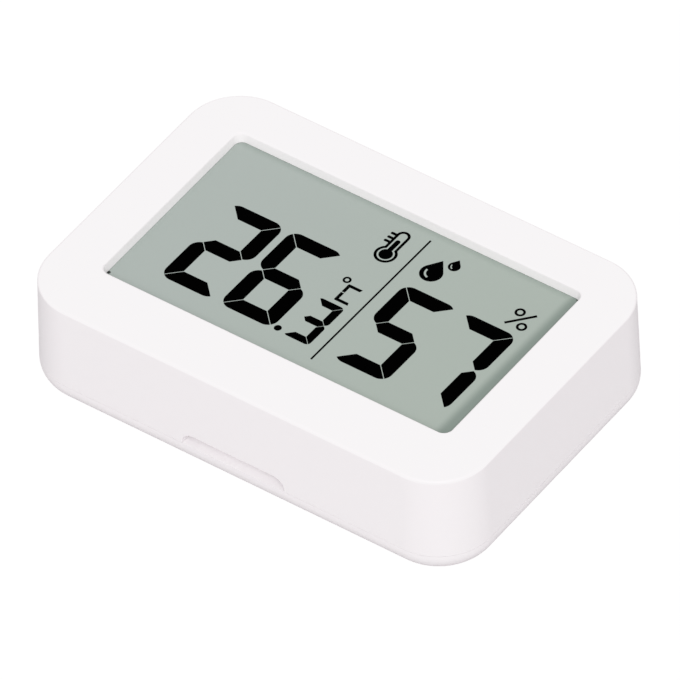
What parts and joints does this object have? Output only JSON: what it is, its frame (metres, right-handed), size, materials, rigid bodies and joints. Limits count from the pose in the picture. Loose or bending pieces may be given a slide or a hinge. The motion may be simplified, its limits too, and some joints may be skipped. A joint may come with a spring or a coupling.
{
  "type": "temperature humidity sensor",
  "caption": "Small white desktop sensor with a segment display for temperature and humidity, a snap-off rear cover over a coin cell, and a sprung reset key.",
  "frame": {"origin": "middle of the flat rear face, on which the sensor lies", "axes": "+X is the reading direction of the display and the longest side, +Y is the upper edge of the display, +Z points out of the display"},
  "size_m": [0.0604, 0.0412, 0.0145],
  "materials": {
    "white_shell": "fine satin moulded white plastic",
    "display_film": "grey-green anti-glare polarising film over a reflective display",
    "display_segments": "black display segments",
    "display_glass": "thin clear float glass",
    "reflector": "satin reflective rear film",
    "foam": "black closed-cell foam",
    "holder_plastic": "plain white moulded plastic",
    "strip_rubber": "silicone strip with conductive layers",
    "board_laminate": "glass-fibre laminate with green solder mask",
    "chip_epoxy": "matt black moulding compound",
    "sheet_steel": "plated spring steel",
    "part_ceramic": "sandy sintered ceramic",
    "black_plastic": "black glass-filled plastic",
    "cell_steel": "nickel-plated steel with fine turning marks",
    "seal_plastic": "translucent polymer seal",
    "screw_steel": "zinc-plated steel"
  },
  "bodies": {
    "cover": {"rear_cover": "white_shell"},
    "case": {"front_case": "white_shell", "display_gasket": "foam", "lcd_front_film": "display_film", "lcd_front_glass": "display_glass", "lcd_rear_glass": "display_glass", "lcd_rear_film": "reflector", "display_holder": "holder_plastic", "zebra_strip": "strip_rubber", "circuit_board": "board_laminate", "display_driver_chip": "chip_epoxy", "controller_chip": "chip_epoxy", "climate_sensor_chip": "chip_epoxy", "crystal": "sheet_steel", "chip_antenna": "part_ceramic", "chip_capacitors": "part_ceramic", "chip_resistors": "chip_epoxy", "switch_base": "black_plastic", "switch_dome": "sheet_steel", "switch_frame": "sheet_steel", "switch_terminals": "sheet_steel", "battery_cradle": "black_plastic", "positive_contact": "sheet_steel", "negative_contact": "sheet_steel", "board_screws": "screw_steel"},
    "key": {"reset_key": "white_shell"},
    "plunger": {"switch_plunger": "black_plastic"},
    "cell": {"cell_can": "cell_steel", "cell_seal": "seal_plastic", "cell_cap": "cell_steel"}
  },
  "joints": [
    {"name": "case_release", "type": "slide", "parent": "cover", "child": "case", "axis": [0, 0, 1], "range_m": [0, 0.02]},
    {"name": "cell_removal", "type": "slide", "parent": "case", "child": "cell", "axis": [0, 0, -1], "range_m": [0, 0.008]},
    {"name": "key_press", "type": "slide", "parent": "cover", "child": "key", "axis": [0, 0, 1], "range_m": [0, 0.00025], "stiffness_N_per_m": 4000},
    {"name": "plunger_press", "type": "slide", "parent": "case", "child": "plunger", "axis": [0, 0, 1], "range_m": [0, 0.00025]}
  ],
  "couplings": [
    {"joint": "cell_removal", "follows": "case_release", "ratio": 0.4},
    {"joint": "plunger_press", "follows": "key_press", "ratio": 1}
  ]
}
